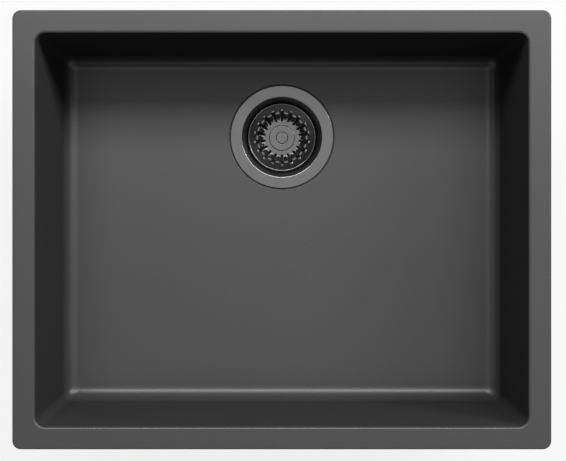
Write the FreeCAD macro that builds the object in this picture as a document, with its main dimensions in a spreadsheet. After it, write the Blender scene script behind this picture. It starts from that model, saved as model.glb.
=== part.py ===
import FreeCAD, Part
import math
import os
import Sketcher

# Undermount kitchen sink: a moulded composite bowl with a basket strainer waste.
#
# Millimetres. The origin is the middle of the bowl's opening, in the plane of the
# rim's top face, which is pressed up under the worktop. +X runs along the long side,
# +Y towards the back, where the drain is, and +Z up.
#
# The waste kit has its own level: the floor of the round recess in which the strainer's
# flange sits. Every piece of the kit is drawn about the drain's axis from that level.

SIZES = [
    # Rim and opening of the bowl
    ("rim_length", 540.0),
    ("rim_width", 440.0),
    ("rim_border", 20.0),
    ("rim_thickness", 10.0),
    ("rim_corner", 8.5),
    ("rim_arris", 1.5),
    ("opening_edge", 3.0),
    # Walls and floor of the bowl; draft and fall are in degrees
    ("bowl_corner", 10.0),
    ("wall_draft", 2.3),
    ("wall_thickness", 8.0),
    ("drain_depth", 190.0),
    ("floor_fall", 0.4),
    ("floor_radius", 20.0),
    ("floor_thickness", 10.0),
    ("rim_gusset", 3.0),
    # Drain seat moulded in the floor
    ("drain_setback", 100.0),
    ("recess_radius", 57.5),
    ("recess_depth", 2.5),
    ("drain_radius", 45.0),
    ("seat_thickness", 10.0),
    ("seat_boss_radius", 66.0),
    # Threaded hexagonal inserts for the fixing clips, under the rim
    ("clip_pitch", 180.0),
    ("insert_flats", 8.0),
    ("insert_bore", 2.5),
    ("insert_length", 7.0),
    ("insert_spare_depth", 1.0),
    # Strainer dish, pressed from one sheet
    ("dish_sheet", 1.0),
    ("flange_radius", 56.5),
    ("throat_radius", 42.9),
    ("lip_bevel", 2.4),
    ("dish_floor_radius", 39.3),
    ("pocket_radius", 11.5),
    ("pocket_depth", 12.0),
    ("window_count", 6),
    ("window_inner_radius", 14.5),
    ("window_outer_radius", 26.0),
    ("spoke_width", 4.0),
    # Gaskets above and below the bowl's floor
    ("flange_gasket_thickness", 1.5),
    ("flange_gasket_inner", 46.5),
    ("body_gasket_thickness", 3.0),
    ("body_gasket_inner", 46.0),
    ("body_gasket_outer", 58.0),
    # Waste body: moulded cup, funnel, threaded outlet and ribbed hub
    ("waste_flange_radius", 58.0),
    ("waste_flange_thickness", 4.0),
    ("waste_wall", 2.5),
    ("waste_cup_radius", 47.0),
    ("waste_cup_height", 42.5),
    ("outlet_radius", 23.9),
    ("outlet_bore", 20.0),
    ("outlet_length", 40.0),
    ("hub_radius", 12.0),
    ("hub_gap", 4.0),
    ("hub_length", 25.0),
    ("rib_count", 4),
    ("rib_thickness", 3.0),
    ("rib_height", 11.5),
    # Clamp screw and the nut that is held in the waste body's hub
    ("screw_radius", 5.0),
    ("screw_length", 35.0),
    ("head_flats", 16.0),
    ("head_height", 7.0),
    ("socket_depth", 16.0),
    ("nut_flats", 17.0),
    ("nut_thickness", 8.0),
    # Basket: fluted, slotted cup; depths are below the dish flange's top
    ("cup_sheet", 0.8),
    ("cup_rim_depth", 11.5),
    ("cup_rim_radius", 36.4),
    ("cup_bead", 1.6),
    ("shoulder_depth", 20.0),
    ("shoulder_outer_radius", 28.0),
    ("shoulder_inner_radius", 26.6),
    ("cup_floor_depth", 30.0),
    ("cup_floor_radius", 20.7),
    ("flute_count", 18),
    ("flute_top_depth", 17.8),
    ("flute_top_reach", 30.2),
    ("flute_foot_reach", 25.6),
    ("flute_valley", 2.8),
    ("flute_flank", 16.0),
    ("flute_cut", 9.0),
    ("slot_inner_radius", 18.8),
    ("slot_width", 2.4),
    # Knob on the basket
    ("knob_radius", 14.2),
    ("knob_foot_radius", 9.0),
    ("knob_lift", 1.6),
    ("knob_disc", 1.6),
    ("button_radius", 6.3),
    ("button_sink", 1.0),
    ("button_proud", 0.3),
    # Stem, with the nut, the clip and the click ring on it
    ("stem_radius", 3.0),
    ("stem_engagement", 10.0),
    ("stem_thread_in_knob", 1.8),
    ("stem_nut_flats", 10.0),
    ("stem_nut_thickness", 3.0),
    ("groove_depth", 0.6),
    ("clip_outer_radius", 5.0),
    ("clip_thickness", 0.8),
    ("clip_mouth", 3.6),
    ("click_ring_height", 1.2),
    ("click_ring_offset", 4.0),
    # Rubber seal and the carrier that holds it on the stem
    ("carrier_top_radius", 11.0),
    ("carrier_top_thickness", 0.9),
    ("carrier_hub_radius", 7.0),
    ("carrier_foot_radius", 10.0),
    ("carrier_foot_thickness", 1.0),
    ("seal_radius", 34.3),
    ("seal_thickness", 3.0),
    # Clearances
    ("running_gap", 0.05),
    ("thread_gap", 0.05),
    ("socket_gap", 0.1),
    ("moulding_gap", 0.1),
    ("seal_gap", 0.4),
    ("turning_gap", 0.3),
]

SLACK = 1e-4

doc = FreeCAD.newDocument("undermount_sink")
sheet = doc.addObject("Spreadsheet::Sheet", "Sizes")


class Size:
    """A number with the spreadsheet formula that gives it."""

    def __init__(self, value, formula):
        self.value = value
        self.formula = formula

    def combined(self, other, sign, result, swapped=False):
        other = as_size(other)
        first, second = (other, self) if swapped else (self, other)
        return Size(
            result(first.value, second.value),
            f"({first.formula} {sign} {second.formula})",
        )

    def __add__(self, other):
        return self.combined(other, "+", lambda a, b: a + b)

    def __radd__(self, other):
        return self.combined(other, "+", lambda a, b: a + b, swapped=True)

    def __sub__(self, other):
        return self.combined(other, "-", lambda a, b: a - b)

    def __rsub__(self, other):
        return self.combined(other, "-", lambda a, b: a - b, swapped=True)

    def __mul__(self, other):
        return self.combined(other, "*", lambda a, b: a * b)

    def __rmul__(self, other):
        return self.combined(other, "*", lambda a, b: a * b, swapped=True)

    def __truediv__(self, other):
        return self.combined(other, "/", lambda a, b: a / b)

    def __rtruediv__(self, other):
        return self.combined(other, "/", lambda a, b: a / b, swapped=True)

    def __neg__(self):
        return Size(-self.value, f"(0 - {self.formula})")


def as_size(number):
    if isinstance(number, Size):
        return number
    return Size(float(number), f"({float(number)!r})")


def sine(angle):
    return Size(math.sin(math.radians(angle.value)), f"sin({angle.formula} * 1 deg)")


def cosine(angle):
    return Size(math.cos(math.radians(angle.value)), f"cos({angle.formula} * 1 deg)")


def tangent(angle):
    return Size(math.tan(math.radians(angle.value)), f"tan({angle.formula} * 1 deg)")


size = {}
for row, (name, number) in enumerate(SIZES, start=1):
    sheet.set(f"A{row}", name)
    sheet.set(f"B{row}", str(number))
    sheet.setAlias(f"B{row}", name)
    size[name] = Size(float(number), f"Sizes.{name}")
doc.recompute()

ZERO = as_size(0)

# The opening leaves the same border all round; the drain keeps its distance from its back edge
opening_length = size["rim_length"] - 2 * size["rim_border"]
opening_width = size["rim_width"] - 2 * size["rim_border"]
drain_y = opening_width / 2 - size["drain_setback"]


# ---------------------------------------------------------------- drawing helpers


def origin_feature(body, role):
    return next(f for f in body.Origin.OriginFeatures if f.Role == role)


def new_body(name, on_drain_axis=True):
    """Start a sub-part; the waste kit's pieces stand on the drain's axis."""
    body = doc.addObject("PartDesign::Body", name)
    body.Label = name
    if on_drain_axis:
        level = size["drain_depth"] + size["recess_depth"]
        body.setExpression("Placement.Base.y", drain_y.formula)
        body.setExpression("Placement.Base.z", (-level).formula)
    return body


def new_sketch(body, name, plane, height=None):
    sketch = body.newObject("Sketcher::SketchObject", name)
    sketch.AttachmentSupport = [(origin_feature(body, plane), "")]
    sketch.MapMode = "FlatFace"
    if height is not None:
        sketch.setExpression("AttachmentOffset.Base.z", height.formula)
    return sketch


def hold(sketch, kind, *place_and_size):
    """Add a dimension that is bound to the sheet."""
    *place, value = place_and_size
    value = as_size(value)
    index = sketch.addConstraint(Sketcher.Constraint(kind, *place, value.value))
    sketch.setExpression(f"Constraints[{index}]", value.formula)


def hold_point(sketch, geometry, end, x, y):
    hold(sketch, "DistanceX", -1, 1, geometry, end, x)
    hold(sketch, "DistanceY", -1, 1, geometry, end, y)


def draw_outline(sketch, points):
    """A closed outline of straight lines through points in order."""
    points = [(as_size(x), as_size(y)) for x, y in points]
    corners = [FreeCAD.Vector(x.value, y.value, 0) for x, y in points]
    first = sketch.GeometryCount
    count = len(points)
    for i in range(count):
        line = Part.LineSegment(corners[i], corners[(i + 1) % count])
        sketch.addGeometry(line, False)
    for i in range(count):
        after = first + (i + 1) % count
        sketch.addConstraint(Sketcher.Constraint("Coincident", first + i, 2, after, 1))
        hold_point(sketch, first + i, 1, *points[i])


def draw_circle(sketch, x, y, radius):
    x, y, radius = as_size(x), as_size(y), as_size(radius)
    middle = FreeCAD.Vector(x.value, y.value, 0)
    circle = Part.Circle(middle, FreeCAD.Vector(0, 0, 1), radius.value)
    index = sketch.addGeometry(circle, False)
    hold_point(sketch, index, 3, x, y)
    hold(sketch, "Radius", index, radius)


def draw_rounded_rectangle(sketch, half_x, half_y, corner):
    """A rectangle about the sketch's origin: four sides, four corner arcs."""
    a, b, r = half_x.value, half_y.value, corner.value

    def point(x, y):
        return FreeCAD.Vector(x, y, 0)

    def arc(x, y, start):
        circle = Part.Circle(point(x, y), FreeCAD.Vector(0, 0, 1), r)
        return Part.ArcOfCircle(circle, math.radians(start), math.radians(start + 90))

    sketch.addGeometry(
        [
            Part.LineSegment(point(r - a, -b), point(a - r, -b)),
            arc(a - r, r - b, -90),
            Part.LineSegment(point(a, r - b), point(a, b - r)),
            arc(a - r, b - r, 0),
            Part.LineSegment(point(a - r, b), point(r - a, b)),
            arc(r - a, b - r, 90),
            Part.LineSegment(point(-a, b - r), point(-a, r - b)),
            arc(r - a, r - b, 180),
        ],
        False,
    )
    for i in range(8):
        end_to_start = (i, 2, (i + 1) % 8, 1)
        sketch.addConstraint(Sketcher.Constraint("Tangent", *end_to_start))
    for flat in (0, 4):
        sketch.addConstraint(Sketcher.Constraint("Horizontal", flat))
    for upright in (2, 6):
        sketch.addConstraint(Sketcher.Constraint("Vertical", upright))
    for other in (3, 5, 7):
        sketch.addConstraint(Sketcher.Constraint("Equal", 1, other))
    hold(sketch, "Radius", 1, corner)
    hold_point(sketch, 3, 3, half_x - corner, half_y - corner)
    hold_point(sketch, 7, 3, corner - half_x, corner - half_y)


def draw_polygon(sketch, x, y, sides, apothem):
    """A regular polygon whose corners include one straight along +Y from its middle."""
    reach = as_size(apothem) / cosine(as_size(180.0 / sides))
    points = []
    for i in range(sides):
        turned = as_size(90.0 - 360.0 * i / sides)
        points.append((x + reach * cosine(turned), y + reach * sine(turned)))
    draw_outline(sketch, points)


def draw_sector(sketch, inner, outer, half_gap, half_angle):
    """One window between two spokes, symmetric about +X.

    Its sides run parallel to the spokes beside it, half_gap from their middles.
    """
    slope = tangent(half_angle)
    lean = half_gap / cosine(half_angle)
    corners = []
    for radius in (inner, outer):
        x = (
            lean * slope
            + Size(
                math.sqrt(
                    radius.value**2 * (1 + slope.value**2) - lean.value**2
                ),
                f"sqrt({radius.formula}^2 * (1 + {slope.formula}^2) - {lean.formula}^2)",
            )
        ) / (1 + slope * slope)
        corners.append((x, x * slope - lean))
    (x_in, y_in), (x_out, y_out) = corners
    centre = FreeCAD.Vector(0, 0, 0)
    axis = FreeCAD.Vector(0, 0, 1)

    def arc(radius, x, y):
        reach = math.atan2(y.value, x.value)
        return Part.ArcOfCircle(Part.Circle(centre, axis, radius.value), -reach, reach)

    def corner(x, y, sign):
        return FreeCAD.Vector(x.value, sign * y.value, 0)

    sketch.addGeometry(
        [
            arc(outer, x_out, y_out),
            Part.LineSegment(corner(x_out, y_out, 1), corner(x_in, y_in, 1)),
            arc(inner, x_in, y_in),
            Part.LineSegment(corner(x_in, y_in, -1), corner(x_out, y_out, -1)),
        ],
        False,
    )
    for joint in ((0, 2, 1, 1), (1, 2, 2, 2), (2, 1, 3, 1), (3, 2, 0, 1)):
        sketch.addConstraint(Sketcher.Constraint("Coincident", *joint))
    for curve in (0, 2):
        sketch.addConstraint(Sketcher.Constraint("Coincident", curve, 3, -1, 1))
    hold(sketch, "Radius", 0, outer)
    hold(sketch, "Radius", 2, inner)
    hold(sketch, "DistanceY", -1, 1, 1, 1, y_out)
    hold(sketch, "DistanceY", -1, 1, 1, 2, y_in)
    hold(sketch, "DistanceY", -1, 1, 3, 1, -y_in)
    hold(sketch, "DistanceY", -1, 1, 3, 2, -y_out)


# ---------------------------------------------------------------- feature helpers


def finish_feature(body, feature, cuts, earlier=None):
    """Recompute a feature, and make sure that it added or took away material."""
    earlier = earlier or feature.BaseFeature
    before = earlier.Shape.Volume if earlier else 0.0
    doc.recompute()
    if "Invalid" in feature.State or "Error" in feature.State:
        raise RuntimeError(f"{body.Label}.{feature.Name} did not build")
    gained = feature.Shape.Volume - before
    if (gained >= 0) if cuts else (gained <= 0):
        raise RuntimeError(f"{body.Label}.{feature.Name} changed nothing")
    return feature


def extrude(body, kind, name, sketch, length, reverse, both_ways, lean):
    feature = body.newObject(f"PartDesign::{kind}", name)
    feature.Profile = sketch
    feature.SideType = "Symmetric" if both_ways else "One side"
    feature.Reversed = reverse
    feature.setExpression("Length", as_size(length).formula)
    if lean is not None:
        feature.UseCustomVector = True
        feature.AlongSketchNormal = True
        feature.Direction = FreeCAD.Vector(0, lean.value, 1)
        feature.setExpression("Direction.y", lean.formula)
    return finish_feature(body, feature, cuts=(kind == "Pocket"))


def pad(body, name, sketch, length, upwards=True, both_ways=False, lean=None):
    """Add material; with a lean, it climbs towards +Y by lean for each unit of height."""
    return extrude(body, "Pad", name, sketch, length, not upwards, both_ways, lean)


def pocket(body, name, sketch, length, upwards=False, both_ways=False, lean=None):
    """Take material away; with a lean, the cut climbs as a leaning pad does."""
    reverse = upwards and lean is None
    return extrude(body, "Pocket", name, sketch, length, reverse, both_ways, lean)


def turn(body, name, outline, cuts=False):
    """Revolve an outline of (radius, height) points about the body's Z axis."""
    sketch = new_sketch(body, f"{name}_outline", "XZ_Plane")
    draw_outline(sketch, outline)
    kind = "PartDesign::Groove" if cuts else "PartDesign::Revolution"
    feature = body.newObject(kind, name)
    feature.Profile = sketch
    feature.ReferenceAxis = (sketch, ["V_Axis"])
    feature.Angle = 360.0
    return finish_feature(body, feature, cuts)


def loft(body, name, sketches, cuts=False):
    """Straight-sided loft from one sketch to the next."""
    kind = "PartDesign::SubtractiveLoft" if cuts else "PartDesign::AdditiveLoft"
    feature = body.newObject(kind, name)
    feature.Profile = sketches[0]
    feature.Sections = sketches[1:]
    feature.Ruled = True
    return finish_feature(body, feature, cuts)


def repeat_round(body, name, feature, count, cuts):
    """Repeat a feature evenly about the body's Z axis."""
    pattern = body.newObject("PartDesign::PolarPattern", name)
    pattern.Originals = [feature]
    pattern.Axis = (origin_feature(body, "Z_Axis"), [""])
    pattern.Angle = 360.0
    pattern.setExpression("Occurrences", count.formula)
    body.Tip = pattern
    return finish_feature(body, pattern, cuts, earlier=feature)


def dress(body, kind, name, base, edges, amount):
    """Fillet or chamfer the named edges of a feature."""
    feature = body.newObject(f"PartDesign::{kind}", name)
    feature.Base = (base, edges)
    quantity = "Radius" if kind == "Fillet" else "Size"
    feature.setExpression(quantity, amount.formula)
    doc.recompute()
    if "Invalid" in feature.State or "Error" in feature.State:
        raise RuntimeError(f"{body.Label}.{feature.Name} did not build")
    return feature


def edges_between(shape, lowest, highest, reach_from=0.0, reach_to=math.inf):
    """Edges that lie between two heights and between two half-lengths along X."""
    found = []
    for number, edge in enumerate(shape.Edges, start=1):
        box = edge.BoundBox
        reach = max(abs(box.XMin), abs(box.XMax))
        if box.ZMin < lowest - SLACK or box.ZMax > highest + SLACK:
            continue
        if reach_from - SLACK < reach < reach_to + SLACK:
            found.append(f"Edge{number}")
    return found


def upright_edges(shape, length):
    """Edges that climb by more than a length."""
    return [
        f"Edge{number}"
        for number, edge in enumerate(shape.Edges, start=1)
        if edge.BoundBox.ZLength > length
    ]


# ---------------------------------------------------------------- the bowl


def leaning_block(body, prefix, half_x, half_y, depth, fall, corner, floor_radius):
    """A block with drafted walls and a floor, rounded all round.

    half_x and half_y are half its length and width at the rim's top. The floor drops
    towards +Y by fall for each unit of length, and is at depth in the middle.
    """
    lean = tangent(size["wall_draft"])
    back = (depth + half_y * fall) / (1 + fall * lean)
    front = (depth - half_y * fall) / (1 - fall * lean)
    side = new_sketch(body, f"{prefix}_side_outline", "YZ_Plane")
    draw_outline(
        side,
        [
            (-half_y, ZERO),
            (front * lean - half_y, -front),
            (half_y - back * lean, -back),
            (half_y, ZERO),
        ],
    )
    pad(body, f"{prefix}_block", side, 2 * half_x, both_ways=True)

    deep = back + corner
    beyond_ends = new_sketch(body, f"{prefix}_end_outline", "XZ_Plane")
    for sign in (-1, 1):
        draw_outline(
            beyond_ends,
            [
                (sign * half_x, ZERO),
                (sign * (half_x - deep * lean), -deep),
                (sign * (half_x + corner), -deep),
                (sign * (half_x + corner), ZERO),
            ],
        )
    ends = pocket(body, f"{prefix}_ends", beyond_ends, 3 * half_y, both_ways=True)

    uprights = upright_edges(ends.Shape, depth.value / 2)
    if floor_radius is corner:
        foot = edges_between(ends.Shape, -math.inf, -depth.value / 2)
        dress(body, "Fillet", f"{prefix}_round", ends, uprights + foot, corner)
        return
    rounded = dress(body, "Fillet", f"{prefix}_corners", ends, uprights, corner)
    foot = edges_between(rounded.Shape, -math.inf, -depth.value / 2)
    dress(body, "Fillet", f"{prefix}_floor_round", rounded, foot, floor_radius)


def clip_places():
    """Where the fixing clips screw in: centred in the rim's overhang, past its gusset."""
    root = size["wall_thickness"] - size["opening_edge"] + size["rim_gusset"]
    end_x = (size["rim_length"] + opening_length) / 4 + root / 2
    side_y = (size["rim_width"] + opening_width) / 4 + root / 2
    places = [(end_x, ZERO), (-end_x, ZERO)]
    for x in (-size["clip_pitch"], size["clip_pitch"]):
        places += [(x, side_y), (x, -side_y)]
    return places


def make_bowl():
    body = new_body("sink_bowl", on_drain_axis=False)
    wall = size["wall_thickness"]
    edge = size["opening_edge"]
    half_x = opening_length / 2 - edge
    half_y = opening_width / 2 - edge
    skin = wall / cosine(size["wall_draft"])
    outer_corner = size["bowl_corner"] + wall
    fall = tangent(size["floor_fall"])
    middle_depth = size["drain_depth"] - drain_y * fall

    leaning_block(
        body,
        "outer",
        half_x + skin,
        half_y + skin,
        size["drain_depth"] + size["floor_thickness"],
        ZERO,
        outer_corner,
        outer_corner,
    )
    rim = new_sketch(body, "rim_outline", "XY_Plane", ZERO)
    rim_x = size["rim_length"] / 2
    rim_y = size["rim_width"] / 2
    draw_rounded_rectangle(rim, rim_x, rim_y, size["rim_corner"])
    pad(body, "rim", rim, size["rim_thickness"], upwards=False)

    under_rim = -size["rim_thickness"]
    joint = edges_between(
        body.Tip.Shape, under_rim.value, under_rim.value, reach_to=(half_x + skin).value
    )
    dress(body, "Chamfer", "rim_gusset", body.Tip, joint, size["rim_gusset"])

    boss = new_sketch(body, "seat_boss_outline", "XY_Plane", -size["drain_depth"])
    draw_circle(boss, 0, drain_y, size["seat_boss_radius"])
    pad(body, "seat_boss", boss, size["recess_depth"] + size["seat_thickness"], upwards=False)

    core = new_body("bowl_core", on_drain_axis=False)
    leaning_block(
        core,
        "inner",
        half_x,
        half_y,
        middle_depth,
        fall,
        size["bowl_corner"],
        size["floor_radius"],
    )
    hollow = body.newObject("PartDesign::Boolean", "hollow")
    hollow.Type = "Cut"
    hollow.setObjects([core])
    finish_feature(body, hollow, cuts=True)

    mouth = edges_between(hollow.Shape, 0.0, 0.0, reach_to=half_x.value)
    dress(body, "Fillet", "opening_round", hollow, mouth, edge)
    arris = edges_between(
        body.Tip.Shape, 0.0, 0.0, reach_from=(half_x + edge + wall / 2).value
    )
    dress(body, "Chamfer", "rim_bevel", body.Tip, arris, size["rim_arris"])

    recess = new_sketch(
        body, "recess_outline", "XY_Plane", -(size["drain_depth"] + size["recess_depth"])
    )
    draw_circle(recess, 0, drain_y, size["recess_radius"])
    pocket(body, "recess", recess, 2 * size["recess_depth"], upwards=True)
    hole = new_sketch(body, "drain_outline", "XY_Plane", -size["drain_depth"])
    draw_circle(hole, 0, drain_y, size["drain_radius"])
    pocket(body, "drain_hole", hole, size["recess_depth"] + 2 * size["seat_thickness"])

    holes = new_sketch(body, "insert_hole_outlines", "XY_Plane", under_rim)
    for x, y in clip_places():
        draw_polygon(holes, x, y, 6, size["insert_flats"] / 2 + size["thread_gap"])
    hole_depth = size["insert_length"] + size["insert_spare_depth"]
    pocket(body, "insert_holes", holes, hole_depth, upwards=True)
    return body


def make_inserts():
    """Threaded inserts, moulded into the rim flush with its underside."""
    body = new_body("rim_inserts", on_drain_axis=False)
    body.AllowCompound = True
    outlines = new_sketch(body, "insert_outlines", "XY_Plane", -size["rim_thickness"])
    for x, y in clip_places():
        draw_polygon(outlines, x, y, 6, size["insert_flats"] / 2)
        draw_circle(outlines, x, y, size["insert_bore"])
    pad(body, "inserts", outlines, size["insert_length"])
    return body


# ---------------------------------------------------------------- waste, fixed pieces

flange_top = size["flange_gasket_thickness"] + size["dish_sheet"]


def below_flange(depth):
    return flange_top - depth


# Heights of the basket, from its rim down to the clip on its stem
cup_rim = below_flange(size["cup_rim_depth"])
cup_shoulder = below_flange(size["shoulder_depth"])
cup_floor = below_flange(size["cup_floor_depth"])
cup_under = cup_floor - size["cup_sheet"]
knob_top = cup_floor + size["knob_lift"] + size["knob_disc"]
nut_under = cup_under - size["stem_nut_thickness"]
carrier_top = nut_under - size["turning_gap"]
seal_top = carrier_top - size["carrier_top_thickness"]
seal_under = seal_top - size["seal_thickness"]
carrier_foot = seal_under - size["carrier_foot_thickness"]
clip_top = carrier_foot - size["moulding_gap"]
clip_under = clip_top - size["clip_thickness"]

# Heights of what holds the basket: the seal closes on the dish's flat floor
dish_floor = seal_under - size["seal_gap"]
pocket_floor = dish_floor - size["pocket_depth"]
dish_foot = pocket_floor - size["dish_sheet"]
head_top = pocket_floor + size["head_height"]
stem_end = head_top - size["stem_engagement"]
click_foot = stem_end + size["click_ring_offset"]
hub_top = dish_foot - size["hub_gap"]
hub_end = hub_top - size["hub_length"]
waste_top = -(size["seat_thickness"] + size["body_gasket_thickness"])


def ring_outline(inner, outer, bottom, top):
    return [(inner, bottom), (outer, bottom), (outer, top), (inner, top)]


def make_flange_gasket():
    body = new_body("flange_gasket")
    outer = size["flange_radius"] - size["turning_gap"]
    outline = ring_outline(
        size["flange_gasket_inner"], outer, ZERO, size["flange_gasket_thickness"]
    )
    turn(body, "washer", outline)
    return body


def make_dish():
    """Strainer dish: flange, straight throat and a flat, spoked floor with a pocket."""
    body = new_body("strainer_dish")
    metal = size["dish_sheet"]
    throat = size["throat_radius"]
    bevel = size["lip_bevel"]
    under = flange_top - metal
    corner = throat - size["dish_floor_radius"]
    bore = size["screw_radius"] + size["socket_gap"]
    wet_side = [
        (bore, pocket_floor),
        (size["pocket_radius"], pocket_floor),
        (size["pocket_radius"], dish_floor),
        (size["dish_floor_radius"], dish_floor),
        (throat, dish_floor + corner),
        (throat, flange_top - bevel),
        (throat + bevel, flange_top),
    ]
    flange = [
        (size["flange_radius"], flange_top),
        (size["flange_radius"], under),
    ]
    dry_side = [
        (throat + bevel + metal / 2, under),
        (throat + metal, flange_top - bevel - metal / 2),
        (throat + metal, dish_floor - metal),
        (size["pocket_radius"] + metal, dish_floor - metal),
        (size["pocket_radius"] + metal, dish_foot),
        (bore, dish_foot),
    ]
    turn(body, "pressing", wet_side + flange + dry_side)

    window = new_sketch(body, "window_outline", "XY_Plane", dish_floor + metal)
    draw_sector(
        window,
        size["window_inner_radius"],
        size["window_outer_radius"],
        size["spoke_width"] / 2,
        180 / size["window_count"],
    )
    cut = pocket(body, "window", window, 3 * metal)
    repeat_round(body, "windows", cut, size["window_count"], cuts=True)
    return body


def make_body_gasket():
    body = new_body("body_gasket")
    top = -size["seat_thickness"]
    outline = ring_outline(
        size["body_gasket_inner"],
        size["body_gasket_outer"],
        top - size["body_gasket_thickness"],
        top,
    )
    turn(body, "washer", outline)
    return body


def make_waste_body():
    """Moulded waste body: flanged cup, outlet and a hub on four ribs."""
    body = new_body("waste_body")
    wall = size["waste_wall"]
    flange_under = waste_top - size["waste_flange_thickness"]
    cup_foot = flange_under - size["waste_cup_height"]
    outlet_end = cup_foot - size["outlet_length"]
    cup = size["waste_cup_radius"]
    turn(
        body,
        "shell",
        [
            (size["outlet_bore"], outlet_end),
            (size["outlet_radius"], outlet_end),
            (size["outlet_radius"], cup_foot),
            (cup, cup_foot),
            (cup, flange_under),
            (size["waste_flange_radius"], flange_under),
            (size["waste_flange_radius"], waste_top),
            (cup - wall, waste_top),
            (cup - wall, cup_foot + wall),
            (size["outlet_bore"], cup_foot + wall),
        ],
    )
    rib = new_sketch(body, "rib_outline", "XY_Plane", hub_end)
    half_rib = size["rib_thickness"] / 2
    rib_reach = (size["outlet_bore"] + size["outlet_radius"]) / 2
    rib_root = size["hub_radius"] / 2 + size["nut_flats"] / 4
    draw_outline(
        rib,
        [
            (rib_root, -half_rib),
            (rib_reach, -half_rib),
            (rib_reach, half_rib),
            (rib_root, half_rib),
        ],
    )
    rib_pad = pad(body, "rib", rib, size["rib_height"])
    repeat_round(body, "ribs", rib_pad, size["rib_count"], cuts=False)
    hub = new_sketch(body, "hub_outline", "XY_Plane", hub_end)
    draw_circle(hub, 0, 0, size["hub_radius"])
    pad(body, "hub", hub, size["hub_length"])
    bore = new_sketch(body, "screw_bore_outline", "XY_Plane", hub_top)
    draw_circle(bore, 0, 0, size["screw_radius"] + size["socket_gap"])
    pocket(body, "screw_bore", bore, size["hub_length"])
    seat = new_sketch(body, "nut_seat_outline", "XY_Plane", hub_end)
    draw_polygon(seat, ZERO, ZERO, 6, size["nut_flats"] / 2 + size["thread_gap"])
    pocket(body, "nut_seat", seat, size["nut_thickness"], upwards=True)
    return body


def make_hub_nut():
    body = new_body("hub_nut")
    outline = new_sketch(body, "nut_outline", "XY_Plane", hub_end)
    draw_polygon(outline, ZERO, ZERO, 6, size["nut_flats"] / 2)
    draw_circle(outline, 0, 0, size["screw_radius"] + size["thread_gap"])
    pad(body, "nut", outline, size["nut_thickness"])
    return body


def make_clamp_screw():
    """Hexagon-head screw; a socket down its middle takes the basket's stem."""
    body = new_body("clamp_screw")
    shank = new_sketch(body, "shank_outline", "XY_Plane", pocket_floor)
    draw_circle(shank, 0, 0, size["screw_radius"])
    pad(body, "shank", shank, size["screw_length"], upwards=False)
    head = new_sketch(body, "head_outline", "XY_Plane", pocket_floor)
    draw_polygon(head, ZERO, ZERO, 6, size["head_flats"] / 2)
    pad(body, "head", head, size["head_height"])
    socket = new_sketch(body, "socket_outline", "XY_Plane", head_top)
    draw_circle(socket, 0, 0, size["stem_radius"] + size["socket_gap"])
    pocket(body, "socket", socket, size["socket_depth"])
    return body


# ---------------------------------------------------------------- basket

def draw_flute(sketch, reach, skin):
    """Section of a flute that opens towards the axis: a flat valley, two flanks."""
    flank = size["flute_flank"]
    valley = size["flute_valley"] / 2
    valley_y = reach + skin
    open_y = reach - size["flute_cut"]
    beside = skin / cosine(flank)
    half_valley = valley + beside - skin * tangent(flank)
    half_open = valley + beside + size["flute_cut"] * tangent(flank)
    draw_outline(
        sketch,
        [
            (-half_open, open_y),
            (half_open, open_y),
            (half_valley, valley_y),
            (-half_valley, valley_y),
        ],
    )


def make_cup():
    """Basket cup: rim bead, sloping collar, shoulder, then a fluted, slotted foot."""
    body = new_body("basket_cup")
    metal = size["cup_sheet"]
    bead = size["cup_bead"]
    bead_out = size["cup_rim_radius"] + bead / 2
    bead_in = size["cup_rim_radius"] - bead / 2
    bead_foot = cup_rim - bead
    shoulder = size["shoulder_outer_radius"]
    sides = int(size["flute_count"].value)
    turn(
        body,
        "collar",
        [
            (ZERO, cup_shoulder - metal),
            (shoulder + metal / 2, cup_shoulder - metal),
            (bead_in + metal, bead_foot),
            (bead_out, bead_foot),
            (bead_out, cup_rim),
            (ZERO, cup_rim),
        ],
    )

    def foot(name, low, skin, cuts):
        base = new_sketch(body, f"{name}_base_outline", "XY_Plane", low)
        draw_polygon(base, ZERO, ZERO, sides, size["cup_floor_radius"] + skin)
        brim = new_sketch(body, f"{name}_brim_outline", "XY_Plane", cup_shoulder)
        draw_polygon(brim, ZERO, ZERO, sides, size["shoulder_inner_radius"] + skin)
        return loft(body, name, [base, brim], cuts)

    def flute(name, low, skin, shape, cuts):
        base = new_sketch(body, f"{name}_outline", "XY_Plane", low)
        draw_flute(base, size["flute_foot_reach"], skin)
        rise = flute_top - low
        lean = (size["flute_top_reach"] - size["flute_foot_reach"]) / rise
        one = shape(body, name, base, rise, upwards=True, lean=lean)
        return repeat_round(body, f"{name}s", one, size["flute_count"], cuts)

    flute_top = below_flange(size["flute_top_depth"])
    foot("foot_back", cup_under, metal, cuts=False)
    flute("flute_back", cup_under, metal, pad, cuts=False)
    turn(
        body,
        "mouth",
        [
            (ZERO, cup_shoulder),
            (shoulder, cup_shoulder),
            (bead_in, bead_foot),
            (bead_in, cup_rim + bead),
            (ZERO, cup_rim + bead),
        ],
        cuts=True,
    )
    foot("foot_hollow", cup_floor, ZERO, cuts=True)
    flute("flute", cup_floor, ZERO, pocket, cuts=True)

    slot = new_sketch(body, "slot_outline", "XY_Plane", cup_floor + metal)
    half_slot = size["slot_width"] / 2
    draw_outline(
        slot,
        [
            (-half_slot, size["slot_inner_radius"]),
            (half_slot, size["slot_inner_radius"]),
            (half_slot, size["flute_foot_reach"]),
            (-half_slot, size["flute_foot_reach"]),
        ],
    )
    cut = pocket(body, "slot", slot, 3 * metal)
    repeat_round(body, "slots", cut, size["flute_count"], cuts=True)

    hole = new_sketch(body, "stem_hole_outline", "XY_Plane", cup_floor + metal)
    draw_circle(hole, 0, 0, size["stem_radius"] + size["thread_gap"])
    pocket(body, "stem_hole", hole, 3 * metal)
    return body


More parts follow.
